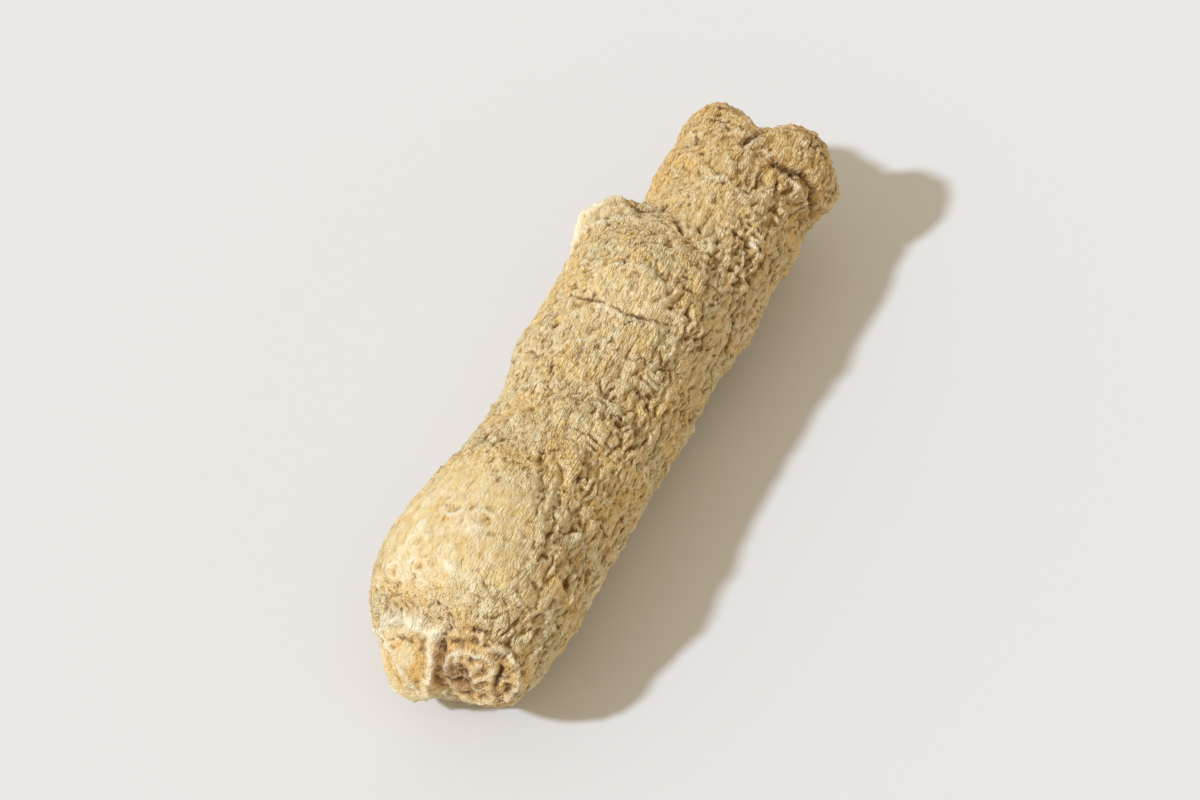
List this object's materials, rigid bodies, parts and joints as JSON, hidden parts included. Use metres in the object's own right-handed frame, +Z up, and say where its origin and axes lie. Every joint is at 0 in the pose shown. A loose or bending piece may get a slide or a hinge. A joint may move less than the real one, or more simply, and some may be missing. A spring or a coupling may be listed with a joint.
{
  "type": "dried ginseng root",
  "caption": "Whole dried ginseng root lying on its side, with a scarred crown, a stout wrinkled trunk, a side-root stub and short forked legs.",
  "frame": {"origin": "on the surface that the root rests on, under the middle of its box", "axes": "+X along the root from its crown to its legs, +Y to its left, where the side-root stub is, +Z up"},
  "size_m": [0.0794, 0.0212, 0.0204],
  "materials": {
    "dried_skin": "dry, matt, finely wrinkled straw-coloured root skin"
  },
  "bodies": {
    "root": {"ginseng_root": "dried_skin"}
  },
  "joints": []
}
